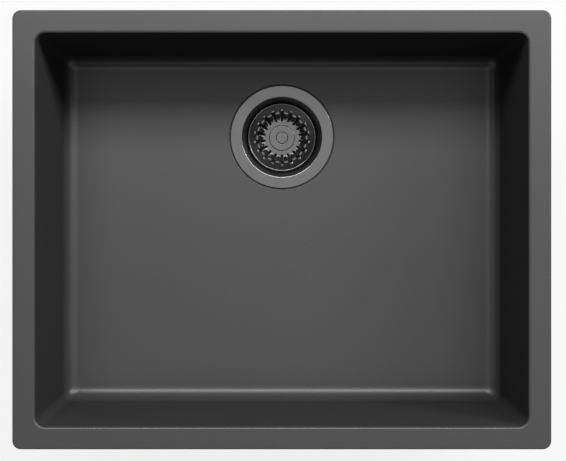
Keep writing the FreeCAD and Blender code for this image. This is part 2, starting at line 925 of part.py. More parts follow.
def make_knob():
    """Low knob: a disc on a narrower foot, so that nails catch under its edge."""
    body = new_body("knob_cap")
    disc_under = cup_floor + size["knob_lift"]
    bore = size["stem_radius"] + size["thread_gap"]
    bore_top = cup_floor + size["stem_thread_in_knob"] + size["thread_gap"]
    seat = knob_top - size["button_sink"]
    button_seat = size["button_radius"] + size["moulding_gap"]
    turn(
        body,
        "knob",
        [
            (bore, cup_floor),
            (size["knob_foot_radius"], cup_floor),
            (size["knob_foot_radius"], disc_under),
            (size["knob_radius"], disc_under),
            (size["knob_radius"], knob_top),
            (button_seat, knob_top),
            (button_seat, seat),
            (ZERO, seat),
            (ZERO, bore_top),
            (bore, bore_top),
        ],
    )
    return body


def make_button():
    """Round plate that covers the end of the stem in the knob's top."""
    body = new_body("knob_button")
    seat = knob_top - size["button_sink"]
    plate = new_sketch(body, "plate_outline", "XY_Plane", seat)
    draw_circle(plate, 0, 0, size["button_radius"])
    pad(body, "plate", plate, size["button_sink"] + size["button_proud"])
    return body


groove_radius = size["stem_radius"] - size["groove_depth"]


def make_stem():
    """Stem: threaded into the knob, grooved for its clip and its click ring."""
    body = new_body("basket_stem")
    stem = size["stem_radius"]
    gap = size["thread_gap"]
    top = cup_floor + size["stem_thread_in_knob"]
    ring_top = click_foot + size["click_ring_height"] + gap
    turn(
        body,
        "rod",
        [
            (ZERO, stem_end),
            (stem, stem_end),
            (stem, click_foot - gap),
            (groove_radius, click_foot - gap),
            (groove_radius, ring_top),
            (stem, ring_top),
            (stem, clip_under - gap),
            (groove_radius, clip_under - gap),
            (groove_radius, clip_top + gap),
            (stem, clip_top + gap),
            (stem, top),
            (ZERO, top),
        ],
    )
    return body


def make_stem_nut():
    body = new_body("stem_nut")
    outline = new_sketch(body, "nut_outline", "XY_Plane", nut_under)
    draw_polygon(outline, ZERO, ZERO, 6, size["stem_nut_flats"] / 2)
    draw_circle(outline, 0, 0, size["stem_radius"] + size["thread_gap"])
    pad(body, "nut", outline, size["stem_nut_thickness"])
    return body


def make_stem_clip():
    """Open spring clip in the stem's groove; it keeps the carrier on the stem."""
    body = new_body("stem_clip")
    inner = groove_radius + size["thread_gap"]
    turn(body, "ring", ring_outline(inner, size["clip_outer_radius"], clip_under, clip_top))
    mouth = new_sketch(body, "mouth_outline", "XY_Plane", clip_top)
    half_mouth = size["clip_mouth"] / 2
    reach = 2 * size["clip_outer_radius"]
    draw_outline(
        mouth,
        [(ZERO, -half_mouth), (reach, -half_mouth), (reach, half_mouth), (ZERO, half_mouth)],
    )
    pocket(body, "mouth", mouth, size["clip_thickness"])
    return body


def make_click_ring():
    """Ring in the stem's lower groove; it grips the socket of the clamp screw."""
    body = new_body("click_ring")
    inner = groove_radius + size["thread_gap"]
    outer = size["stem_radius"] + size["socket_gap"] / 2
    top = click_foot + size["click_ring_height"]
    turn(body, "ring", ring_outline(inner, outer, click_foot, top))
    return body


# ---------------------------------------------------------------- seal


def make_carrier():
    """Moulded carrier: turns on the stem and grips the rubber between two flanges."""
    body = new_body("seal_carrier")
    bore = size["stem_radius"] + size["running_gap"]
    hub = size["carrier_hub_radius"]
    turn(
        body,
        "hub",
        [
            (bore, carrier_foot),
            (size["carrier_foot_radius"], carrier_foot),
            (size["carrier_foot_radius"], seal_under),
            (hub, seal_under),
            (hub, seal_top),
            (size["carrier_top_radius"], seal_top),
            (size["carrier_top_radius"], carrier_top),
            (bore, carrier_top),
        ],
    )
    return body


def make_seal():
    """Rubber disc that closes on the dish's floor, round the windows."""
    body = new_body("plug_seal")
    disc = new_sketch(body, "disc_outline", "XY_Plane", seal_under)
    draw_circle(disc, 0, 0, size["seal_radius"])
    draw_circle(disc, 0, 0, size["carrier_hub_radius"] + size["moulding_gap"])
    pad(body, "disc", disc, size["seal_thickness"])
    return body


# ---------------------------------------------------------------- build and write

parts = [
    make_bowl(),
    make_inserts(),
    make_flange_gasket(),
    make_dish(),
    make_body_gasket(),
    make_waste_body(),
    make_hub_nut(),
    make_clamp_screw(),
    make_cup(),
    make_knob(),
    make_button(),
    make_stem(),
    make_stem_nut(),
    make_stem_clip(),
    make_click_ring(),
    make_carrier(),
    make_seal(),
]
doc.recompute()

for thing in doc.Objects:
    if "Invalid" in thing.State or "Error" in thing.State:
        raise RuntimeError(f"{thing.Label} did not build: {thing.State}")
for part in parts:
    if part.Shape.isNull() or not part.Shape.isValid():
        raise RuntimeError(f"{part.Label} has no valid shape")

os.makedirs("parts", exist_ok=True)
for part in parts:
    part.Shape.exportStep(os.path.join("parts", f"{part.Label}.step"))
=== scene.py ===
"""Undermount kitchen sink: its visible pieces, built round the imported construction.

Metres. The origin is the middle of the bowl's opening, in the plane of the rim's top face.
+X runs along the long side, +Y towards the back, where the drain is, and +Z up.
"""

import math

import bmesh
import bpy
from bpy.props import FloatProperty, FloatVectorProperty, IntProperty, PointerProperty
from mathutils import Matrix, Vector


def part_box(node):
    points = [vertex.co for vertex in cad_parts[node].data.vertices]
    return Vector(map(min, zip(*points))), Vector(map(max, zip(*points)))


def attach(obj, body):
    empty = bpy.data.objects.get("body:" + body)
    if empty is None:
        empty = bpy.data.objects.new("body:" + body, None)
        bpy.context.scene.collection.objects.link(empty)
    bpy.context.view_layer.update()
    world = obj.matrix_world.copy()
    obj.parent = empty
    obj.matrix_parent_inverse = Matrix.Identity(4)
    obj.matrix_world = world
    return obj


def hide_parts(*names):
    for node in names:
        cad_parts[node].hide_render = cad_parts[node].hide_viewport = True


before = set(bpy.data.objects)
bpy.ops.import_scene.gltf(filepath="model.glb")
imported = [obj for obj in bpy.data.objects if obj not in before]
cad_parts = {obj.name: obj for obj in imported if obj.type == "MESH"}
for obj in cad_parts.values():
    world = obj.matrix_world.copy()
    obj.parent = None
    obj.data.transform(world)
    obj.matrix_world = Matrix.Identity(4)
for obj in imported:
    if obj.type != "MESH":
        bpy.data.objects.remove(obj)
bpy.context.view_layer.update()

bl_info = {
    "name": "Undermount kitchen sink",
    "version": (1, 0, 0),
    "blender": (4, 5, 0),
    "location": "View3D > Sidebar > Sink",
    "description": "Composite bowl with a basket strainer waste, its finishes and a small studio",
    "category": "Object",
}

MM = 0.001

# Places that the construction gives
RIM_LOW, RIM_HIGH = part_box("sink_bowl")
DISH_LOW, DISH_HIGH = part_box("strainer_dish")
WASTE_LOW, WASTE_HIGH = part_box("waste_body")
CUP_LOW, CUP_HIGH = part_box("basket_cup")
KNOB_LOW, KNOB_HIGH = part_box("knob_cap")
BUTTON_LOW, BUTTON_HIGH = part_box("knob_button")
SEAL_LOW, SEAL_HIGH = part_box("plug_seal")
GASKET_LOW, GASKET_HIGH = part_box("body_gasket")
DRAIN = ((DISH_LOW.x + DISH_HIGH.x) / 2, (DISH_LOW.y + DISH_HIGH.y) / 2)
FLANGE_TOP = DISH_HIGH.z
FLANGE_RADIUS = (DISH_HIGH.x - DISH_LOW.x) / 2


def reach_of(low, high):
    """Radius of a round node."""
    return (high.x - low.x) / 2


# Settings


def length(name, description, default):
    return FloatProperty(
        name=name, description=description, default=default, min=0.0, unit="LENGTH", precision=5
    )


def size(name, description, millimetres):
    return length(name, description, millimetres * MM)


def angle(name, description, degrees):
    return FloatProperty(
        name=name, description=description, default=math.radians(degrees), subtype="ANGLE"
    )


def share(name, description, default):
    return FloatProperty(
        name=name, description=description, default=default, min=0.0, max=1.0, subtype="FACTOR"
    )


def colour(name, description, default):
    return FloatVectorProperty(
        name=name, description=description, default=default, min=0.0, max=1.0, subtype="COLOR"
    )


class SinkBowlSettings(bpy.types.PropertyGroup):
    # The construction has an inner draft of 2.3 degrees and a floor round of 20 mm
    border: size("Rim border", "Width of the rim round the opening", 20)
    thickness: size("Rim thickness", "Thickness of the rim", 10)
    rim_corner: size("Rim corner", "Corner radius of the rim's outline", 8.5)
    arris: size("Rim arris", "Rounded edge round the rim's outside", 1.5)
    edge_round: size("Opening edge", "Radius of the edge round the opening", 3)
    corner: size("Bowl corner", "Radius of the bowl's upright corners", 10)
    foot_corner: size("Floor corner", "Corner radius of the flat of the floor", 5)
    draft: angle("Inner draft", "How far the inner faces lean outwards", 3.0)
    outer_draft: angle("Outer draft", "How far the outer faces lean outwards", 2.3)
    wall: size("Wall", "Thickness of the walls", 8)
    floor_round: size("Floor round", "Radius between walls and floor", 15)
    outer_round: size("Outer round", "Radius of the bowl's outer corners and foot", 18)
    floor_thickness: size("Floor thickness", "Thickness of the floor", 10)
    fall: angle("Floor fall", "Fall of the floor towards the drain", 0.4)
    gusset: size("Gusset", "Bevel under the root of the rim", 3)
    recess_radius: size("Recess radius", "Round recess for the strainer's flange", 57.5)
    recess_depth: size("Recess depth", "Depth of that recess", 2.5)
    recess_edge: size("Recess edge", "Radius of the recess's edge", 0.4)
    drain_radius: size("Drain hole", "Radius of the hole for the waste", 45)
    boss_radius: size("Seat boss", "Radius of the thicker seat under the drain", 66)
    clip_pitch: size("Clip pitch", "Place of the side inserts along the rim", 180)
    insert_flats: size("Insert flats", "Width across flats of an insert's hole", 8.1)
    insert_depth: size("Insert depth", "Depth of an insert's hole", 8)


class SinkWasteSettings(bpy.types.PropertyGroup):
    # The construction's throat is straight, with a radius of 42.9 mm
    sheet: size("Dish sheet", "Thickness of the dish's sheet", 1)
    flange_edge: size("Flange edge", "Radius of the flange's outer edge", 0.85)
    throat: size("Throat", "Radius of the throat", 43.1)
    lip: size("Lip", "Radius of the lip between flange and throat", 1.5)
    neck: size("Neck", "Radius of the dish below its taper", 38.9)
    taper: size("Taper", "Depth at which the taper ends", 13.5)
    dish_corner: size("Dish corner", "Radius between the dish's wall and its floor", 1.8)
    pocket: size("Pocket", "Radius of the pocket for the screw's head", 11.5)
    pocket_depth: size("Pocket depth", "Depth of that pocket", 12)
    screw_bore: size("Screw bore", "Radius of the hole for the clamp screw", 5.1)
    window_inner: size("Window inside", "Inner radius of the dish's windows", 14.5)
    window_outer: size("Window outside", "Outer radius of the dish's windows", 26)
    spoke: size("Spoke", "Width of the spokes between the windows", 4)
    windows: IntProperty(name="Windows", description="Number of windows", default=6, min=3)
    outlet: size("Outlet", "Outer radius of the outlet's thread", 23.9)
    outlet_bore: size("Outlet bore", "Inner radius of the outlet", 20)
    outlet_length: size("Outlet length", "Length of the outlet", 40)
    pitch: size("Thread pitch", "Distance from one turn to the next", 2.31)
    thread: size("Thread depth", "Depth of the outlet's thread", 1.1)
    cup: size("Waste cup", "Outer radius of the waste body's cup", 47)
    wall: size("Waste wall", "Thickness of the waste body's wall", 2.5)
    flange: size("Waste flange", "Thickness of the waste body's flange", 4)
    hub: size("Hub", "Radius of the hub that holds the nut", 12)
    hub_length: size("Hub length", "Length of that hub", 25)
    nut_flats: size("Nut flats", "Width across flats of the nut's seat", 17.1)
    nut_height: size("Nut height", "Height of the nut's seat", 8)
    rib: size("Rib", "Thickness of the hub's ribs", 3)
    rib_height: size("Rib height", "Height of the hub's ribs", 11.5)


class SinkBasketSettings(bpy.types.PropertyGroup):
    # The construction's basket is 0.8 mm thick
    sheet: size("Sheet", "Thickness of the basket's sheet", 0.35)
    bead: size("Bead", "Radius of the rolled rim's section", 0.8)
    collar: size("Collar", "Inner radius at the top of the sloping collar", 35.6)
    nose_outer: size("Shoulder outside", "Outer radius of the shoulder", 28)
    nose_inner: size("Shoulder inside", "Inner radius of the shoulder", 26.6)
    nose_height: size("Shoulder height", "Height of the shoulder above the floor", 10)
    floor: size("Floor", "Radius of the floor between the flutes", 20.7)
    flute_foot: size("Flute foot", "Reach of the flutes at the floor", 25.6)
    flute_top: size("Flute top", "Reach of the flutes at their top", 30)
    slot_start: size("Slot start", "Inner radius of the slots", 18.8)
    slot: size("Slot", "Width of the slots", 2.4)
    flutes: IntProperty(name="Flutes", description="Number of flutes and slots", default=18, min=6)
    knob_foot: size("Knob foot", "Radius of the knob's foot", 9)
    knob_disc: size("Knob disc", "Thickness of the knob's disc", 1.6)


class SinkFinishSettings(bpy.types.PropertyGroup):
    composite: colour("Composite", "Colour of the moulded bowl", (0.055, 0.055, 0.056))
    composite_roughness: share("Composite roughness", "Roughness of the bowl", 0.6)
    composite_gloss: share("Composite gloss", "Roughness of the bowl's thin gel skin", 0.34)
    metal: colour("Strainer metal", "Colour of the strainer's dark satin metal", (0.20, 0.20, 0.20))
    metal_roughness: share("Metal roughness", "Roughness of that metal", 0.17)
    drawn: share("Drawn dullness", "Extra roughness where the metal was drawn steep", 0.26)
    steel: colour("Steel", "Colour of the bright fasteners", (0.58, 0.58, 0.57))
    brass: colour("Brass", "Colour of the inserts and the hub nut", (0.60, 0.47, 0.22))
    rubber: colour("Rubber", "Colour of gaskets and seal", (0.022, 0.022, 0.023))
    waste: colour("Waste plastic", "Colour of the waste body", (0.030, 0.030, 0.032))
    carrier: colour("Carrier plastic", "Colour of the seal's carrier", (0.55, 0.55, 0.53))


class SinkStudioSettings(bpy.types.PropertyGroup):
    camera_height: length("Camera height", "Height of the camera above the rim", 2.018)
    camera_side: FloatProperty(
        name="Camera side", description="Camera's place along X", default=1.2 * MM, unit="LENGTH"
    )
    camera_back: FloatProperty(
        name="Camera back", description="Camera's place along Y", default=18.0 * MM, unit="LENGTH"
    )
    shift: FloatProperty(name="Shift", description="Upward shift of the lens", default=-0.0331)
    lens: FloatProperty(name="Lens", description="Focal length in millimetres", default=128.2)
    floor_colour: colour("Floor", "Colour of the floor and the backdrop", (0.82, 0.82, 0.82))
    room: FloatProperty(name="Room", description="Strength of the even room light", default=0.08)


# Shapes


def arc(centre, radius, start, end, steps):
    """Points on an arc, angles in degrees, ends included."""
    points = []
    for i in range(steps + 1):
        turn = math.radians(start + (end - start) * i / steps)
        points.append((centre[0] + radius * math.cos(turn), centre[1] + radius * math.sin(turn)))
    return points


def rounded(corners, steps=4):
    """A closed outline of (x, y, radius) corners with each corner turned into an arc."""
    points = []
    for i, (x, y, radius) in enumerate(corners):
        here = Vector((x, y))
        if radius <= 0:
            points.append((x, y))
            continue
        before = (Vector(corners[i - 1][:2]) - here).normalized()
        after = (Vector(corners[(i + 1) % len(corners)][:2]) - here).normalized()
        opening = before.angle(after)
        run = radius / math.tan(opening / 2)
        centre = here + (before + after).normalized() * radius / math.sin(opening / 2)
        first = here + before * run - centre
        last = here + after * run - centre
        sweep = first.angle_signed(last)
        for k in range(steps + 1):
            spoke = first.copy()
            spoke.rotate(Matrix.Rotation(-sweep * k / steps, 2))
            points.append(tuple(centre + spoke))
    return points


def rounded_rectangle(half_x, half_y, corner, height, corner_steps=10, side_steps=8):
    """Points of a rounded rectangle; height is a function of y."""
    quarters = []
    for quarter, (side_x, side_y) in enumerate(((1, 1), (-1, 1), (-1, -1), (1, -1))):
        centre = (side_x * (half_x - corner), side_y * (half_y - corner))
        quarters.append(arc(centre, corner, 90 * quarter, 90 * quarter + 90, corner_steps))
    points = []
    for quarter in range(4):
        points += quarters[quarter]
        start = quarters[quarter][-1]
        end = quarters[(quarter + 1) % 4][0]
        for k in range(1, side_steps):
            share_along = k / side_steps
            points.append(tuple(a + (b - a) * share_along for a, b in zip(start, end)))
    return [(x, y, height(y)) for x, y in points]


def circle(radius, height, steps=128, centre=DRAIN):
    """Points of a level or sloping circle; height is a number or a function of y."""
    points = []
    for x, y in arc(centre, radius, 0, 360, steps)[:-1]:
        points.append((x, y, height(y) if callable(height) else height))
    return points


def hexagon(x, y, flats, z):
    """Corners of a hexagon, two of them along Y."""
    reach = flats / math.sqrt(3)
    return [(px, py, z) for px, py in arc((x, y), reach, 90, 450, 6)[:-1]]


def put(name, data, spot=(0.0, 0.0, 0.0)):
    """Put an object into the scene."""
    made = bpy.data.objects.new(name, data)
    made.location = spot
    bpy.context.scene.collection.objects.link(made)
    return made


class Skin:
    """A mesh under construction, made of loops of points."""

    def __init__(self):
        self.mesh = bmesh.new()

    def loop(self, points):
        return [self.mesh.verts.new(point) for point in points]

    def strip(self, first, second):
        """Faces between two closed loops of as many points."""
        count = len(first)
        for i in range(count):
            k = (i + 1) % count
            self.mesh.faces.new((first[i], first[k], second[k], second[i]))

    def stack(self, loops):
        """Strips through a list of outlines, and the first and last loop."""
        made = [self.loop(points) for points in loops]
        for first, second in zip(made, made[1:]):
            self.strip(first, second)
        return made[0], made[-1]

    def fill(self, *loops):
        """A flat face between an outer loop and the loops of its holes."""
        edges = []
        for loop in loops:
            for i in range(len(loop)):
                pair = (loop[i - 1], loop[i])
                edges.append(self.mesh.edges.get(pair) or self.mesh.edges.new(pair))
        bmesh.ops.triangle_fill(self.mesh, use_beauty=True, use_dissolve=False, edges=edges)

    def cap(self, loop):
        self.mesh.faces.new(loop)

    def turned(self, outline, steps=128, centre=DRAIN):
        """Revolve a closed outline of (radius, height) points."""
        rings = [self.loop(circle(max(r, 0.0), z, steps, centre)) for r, z in outline]
        for i in range(len(rings)):
            if outline[i - 1][0] > 0 or outline[i][0] > 0:
                self.strip(rings[i - 1], rings[i])
        bmesh.ops.remove_doubles(self.mesh, verts=self.mesh.verts, dist=1e-7)

    def to_object(self, name, material):
        """End the mesh and put it into the scene as a smooth object."""
        data = bpy.data.meshes.new(name)
        self.mesh.to_mesh(data)
        self.mesh.free()
        data.shade_smooth()
        data.materials.append(material)
        return put(name, data)


def finish_piece(name, skin, body, slot, stands_for, sharp=32.0, sheet=0.0):
    """Turn a skin into a piece of the scene that rides on a body."""
    bmesh.ops.recalc_face_normals(skin.mesh, faces=skin.mesh.faces)
    if sheet and sum(face.normal.z for face in skin.mesh.faces) < 0:
        bmesh.ops.reverse_faces(skin.mesh, faces=skin.mesh.faces)
    piece = skin.to_object(name, FINISHES[slot])
    piece.data.set_sharp_from_angle(angle=math.radians(sharp))
    if sheet:
        solid = piece.modifiers.new("sheet", "SOLIDIFY")
        solid.thickness = sheet
        solid.offset = -1.0
        solid.use_even_offset = False
    flat = piece.modifiers.new("flats", "WEIGHTED_NORMAL")
    flat.keep_sharp = True
    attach(piece, body)
    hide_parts(stands_for)


def dress_node(name, material):
    """Give a construction node its finish."""
    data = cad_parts[name].data
    data.materials.clear()
    data.materials.append(material)


# Finishes


# What each group gives to a material
SURFACE = (
    ("Color", "NodeSocketColor"), ("Roughness", "NodeSocketFloat"), ("Height", "NodeSocketFloat"),
)


def new_group(name, inputs, outputs):
    group = bpy.data.node_groups.new(name, "ShaderNodeTree")
    for label, default in inputs:
        kind = "NodeSocketColor" if isinstance(default, tuple) else "NodeSocketFloat"
        socket = group.interface.new_socket(label, in_out="INPUT", socket_type=kind)
        socket.default_value = default
    for label, kind in outputs:
        group.interface.new_socket(label, in_out="OUTPUT", socket_type=kind)
    return group, group.nodes.new("NodeGroupInput"), group.nodes.new("NodeGroupOutput")


def place(tree, kind, **values):
    """Add a node, set its properties and put values into its named inputs."""
    node = tree.nodes.new(kind)
    for key, value in values.items():
        if hasattr(node, key):
            setattr(node, key, value)
        else:
            node.inputs[key.replace("_", " ")].default_value = value
    return node


def noise(tree, where, **values):
    """A noise texture that follows the object."""
    node = place(tree, "ShaderNodeTexNoise", **values)
    tree.links.new(where.outputs["Object"], node.inputs["Vector"])
    return node


def maths(tree, operation, first, second):
    node = tree.nodes.new("ShaderNodeMath")
    node.operation = operation
    for socket, value in zip(node.inputs, (first, second)):
        if isinstance(value, (int, float)):
            socket.default_value = value
        else:
            tree.links.new(value, socket)
    return node.outputs[0]


def spread(tree, value, low, high, low_to, high_to):
    """Map a value from one range to another, without passing its ends."""
    node = tree.nodes.new("ShaderNodeMapRange")
    tree.links.new(value, node.inputs["Value"])
    labels = ("From Min", "From Max", "To Min", "To Max")
    for label, limit in zip(labels, (low, high, low_to, high_to)):
        if isinstance(limit, (int, float)):
            node.inputs[label].default_value = limit
        else:
            tree.links.new(limit, node.inputs[label])
    return node.outputs["Result"]


def blend_colours(tree, factor, first, second):
    node = tree.nodes.new("ShaderNodeMix")
    node.data_type = "RGBA"
    # Inputs 0, 6 and 7 are the factor and the two colours
    for index, value in ((0, factor), (6, first), (7, second)):
        socket = node.inputs[index]
        if isinstance(value, bpy.types.NodeSocket):
            tree.links.new(value, socket)
        else:
            socket.default_value = value
    return node.outputs[2]


def mineral_grain():
    """Fine quartz grain: flecks, a soft cloud of tone, and a pitted height."""
    group, start, end = new_group(
        "mineral grain",
        [("Base", (0.1, 0.1, 0.1, 1)), ("Fleck", (0.2, 0.2, 0.2, 1)), ("Grain size", 900.0),
         ("Fleck amount", 0.25), ("Roughness", 0.6)],
        SURFACE + (("Polish", "NodeSocketFloat"),),
    )
    where = place(group, "ShaderNodeTexCoord")
    link = group.links.new
    facing = place(group, "ShaderNodeSeparateXYZ")
    link(where.outputs["Normal"], facing.inputs[0])
    link(spread(group, facing.outputs["Z"], 0.55, 0.92, 0.0, 1.0), end.inputs["Polish"])
    grain = place(group, "ShaderNodeTexVoronoi")
    link(where.outputs["Object"], grain.inputs["Vector"])
    link(start.outputs["Grain size"], grain.inputs["Scale"])
    fleck = noise(group, where, Detail=2.0)
    link(maths(group, "MULTIPLY", start.outputs["Grain size"], 0.55), fleck.inputs["Scale"])
    cloud = noise(group, where, Scale=9.0, Detail=3.0)
    picked = spread(group, fleck.outputs["Fac"], 0.60, 0.72, 0.0, start.outputs["Fleck amount"])
    speckled = blend_colours(group, picked, start.outputs["Base"], start.outputs["Fleck"])
    tone = spread(group, cloud.outputs["Fac"], 0.3, 0.7, 0.0, 0.06)
    toned = blend_colours(group, tone, speckled, start.outputs["Fleck"])
    link(toned, end.inputs["Color"])
    rough = spread(group, grain.outputs["Distance"], 0.0, 1.0, -0.05, 0.07)
    link(maths(group, "ADD", start.outputs["Roughness"], rough), end.inputs["Roughness"])
    height = maths(group, "ADD", grain.outputs["Distance"], fleck.outputs["Fac"])
    link(height, end.inputs["Height"])
    return group


def turned_marks():
    """Rings left by turning or polishing about the drain's axis, with a little wear."""
    group, start, end = new_group(
        "turned marks",
        [("Base", (0.5, 0.5, 0.5, 1)), ("Ring density", 2200.0), ("Roughness", 0.3), ("Depth", 0.5),
         ("Drawn dullness", 0.0)],
        SURFACE,
    )
    link = group.links.new
    where = place(group, "ShaderNodeTexCoord")
    moved = place(group, "ShaderNodeVectorMath", operation="SUBTRACT")
    moved.inputs[1].default_value = (*DRAIN, 0.0)
    link(where.outputs["Object"], moved.inputs[0])
    parts = place(group, "ShaderNodeSeparateXYZ")
    link(moved.outputs["Vector"], parts.inputs[0])
    across = maths(group, "MULTIPLY", parts.outputs["X"], parts.outputs["X"])
    along = maths(group, "MULTIPLY", parts.outputs["Y"], parts.outputs["Y"])
    radius = maths(group, "SQRT", maths(group, "ADD", across, along), 0.0)
    ring = maths(group, "ADD", radius, parts.outputs["Z"])
    lines = place(group, "ShaderNodeTexNoise", noise_dimensions="1D", Detail=3.0)
    link(ring, lines.inputs["W"])
    link(start.outputs["Ring density"], lines.inputs["Scale"])
    haze = noise(group, where, Scale=60.0, Detail=4.0)
    line_rough = spread(group, lines.outputs["Fac"], 0.3, 0.7, -0.05, 0.05)
    haze_rough = spread(group, haze.outputs["Fac"], 0.35, 0.7, 0.0, 0.06)
    both = maths(group, "ADD", line_rough, haze_rough)
    rough = maths(group, "ADD", start.outputs["Roughness"], both)
    facing = place(group, "ShaderNodeSeparateXYZ")
    link(where.outputs["Normal"], facing.inputs[0])
    drawn = spread(group, facing.outputs["Z"], 0.6, 0.95, start.outputs["Drawn dullness"], 0.0)
    link(maths(group, "ADD", rough, drawn), end.inputs["Roughness"])
    dull = spread(group, haze.outputs["Fac"], 0.45, 0.8, 0.0, 0.14)
    link(blend_colours(group, dull, start.outputs["Base"], (0.2, 0.2, 0.2, 1)), end.inputs["Color"])
    height = maths(group, "MULTIPLY", lines.outputs["Fac"], start.outputs["Depth"])
    link(height, end.inputs["Height"])
    return group


def moulded_skin():
    """Fine texture of moulded rubber and plastic, slightly uneven in tone."""
    group, start, end = new_group(
        "moulded skin",
        [("Base", (0.05, 0.05, 0.05, 1)), ("Bloom", (0.12, 0.12, 0.12, 1)), ("Grain size", 1500.0),
         ("Roughness", 0.55)],
        SURFACE,
    )
    link = group.links.new
    where = place(group, "ShaderNodeTexCoord")
    fine = noise(group, where, Detail=3.0)
    link(start.outputs["Grain size"], fine.inputs["Scale"])
    cloud = noise(group, where, Scale=35.0, Detail=4.0)
    bloom = spread(group, cloud.outputs["Fac"], 0.45, 0.8, 0.0, 0.35)
    toned = blend_colours(group, bloom, start.outputs["Base"], start.outputs["Bloom"])
    link(toned, end.inputs["Color"])
    rough = spread(group, cloud.outputs["Fac"], 0.3, 0.7, -0.06, 0.08)
    link(maths(group, "ADD", start.outputs["Roughness"], rough), end.inputs["Roughness"])
    link(fine.outputs["Fac"], end.inputs["Height"])
    return group


def new_material(name, group, inputs, bump, metallic=0.0, specular=0.5):
    """A material whose colour, roughness and relief come from one of the groups."""
    material = bpy.data.materials.new(name)
    material.use_nodes = True
    tree = material.node_tree
    surface = tree.nodes["Principled BSDF"]
    effect = tree.nodes.new("ShaderNodeGroup")
    effect.node_tree = group
    for label, value in inputs.items():
        effect.inputs[label].default_value = value
    relief = tree.nodes.new("ShaderNodeBump")
    relief.inputs["Distance"].default_value = bump
    relief.inputs["Strength"].default_value = 0.6
    link = tree.links.new
    link(effect.outputs["Color"], surface.inputs["Base Color"])
    link(effect.outputs["Roughness"], surface.inputs["Roughness"])
    link(effect.outputs["Height"], relief.inputs["Height"])
    link(relief.outputs["Normal"], surface.inputs["Normal"])
    surface.inputs["Metallic"].default_value = metallic
    surface.inputs["Specular IOR Level"].default_value = specular
    return material


# Materials by the names of the record's slots
FINISHES = {}


def make_finishes(finish):
    """All the materials, by the names of the record's slots."""
    grain, rings, skin = mineral_grain(), turned_marks(), moulded_skin()

    def opaque(value):
        return (*value, 1.0)

    def metal(slot, name, base, roughness, density=2200.0, drawn=0.0):
        values = {"Base": opaque(base), "Roughness": roughness, "Ring density": density,
                  "Drawn dullness": drawn}
        FINISHES[slot] = new_material(name, rings, values, 0.02 * MM, metallic=1.0)

    def moulded(slot, name, base, bloom, roughness):
        values = {"Base": opaque(base), "Bloom": opaque(bloom), "Roughness": roughness}
        FINISHES[slot] = new_material(name, skin, values, 0.03 * MM)

    fleck = tuple(min(1.0, 1.9 * c) for c in finish.composite)
    values = {"Base": opaque(finish.composite), "Fleck": opaque(fleck),
              "Roughness": finish.composite_roughness}
    composite = new_material("dark grey composite", grain, values, 0.03 * MM, specular=0.0)
    FINISHES["composite"] = composite
    tree = composite.node_tree
    surface = tree.nodes["Principled BSDF"]
    effect = next(node for node in tree.nodes if node.type == "GROUP")
    tree.links.new(effect.outputs["Polish"], surface.inputs["Coat Weight"])
    surface.inputs["Coat Roughness"].default_value = finish.composite_gloss
    for part in ("dish", "basket", "knob"):
        metal(f"{part}_steel", f"{part} satin metal", finish.metal, finish.metal_roughness,
              drawn=finish.drawn)
    metal("fastener_steel", "turned fastener steel", finish.steel, 0.28, 4000.0)
    metal("insert_brass", "turned brass", finish.brass, 0.3, 4000.0)
    moulded("gasket_rubber", "black rubber", finish.rubber, (0.05, 0.05, 0.05), 0.7)
    moulded("waste_plastic", "black waste plastic", finish.waste, (0.055, 0.055, 0.057), 0.5)
    moulded("carrier_plastic", "pale carrier plastic", finish.carrier, (0.7, 0.69, 0.66), 0.45)


# Pieces


def drain_plane(bowl):
    """Height of the bowl's floor as a function of y."""
    slope = math.tan(bowl.fall)
    return lambda y: FLANGE_TOP - slope * (y - DRAIN[1])


def clip_places(bowl):
    """Middles of the six inserts: in the rim's overhang, past its gusset."""
    root = bowl.wall - bowl.edge_round + bowl.gusset
    end_x = RIM_HIGH.x + (root - bowl.border) / 2
    side_y = RIM_HIGH.y + (root - bowl.border) / 2
    places = [(end_x, 0.0), (-end_x, 0.0)]
    for x in (-bowl.clip_pitch, bowl.clip_pitch):
        places += [(x, side_y), (x, -side_y)]
    return places


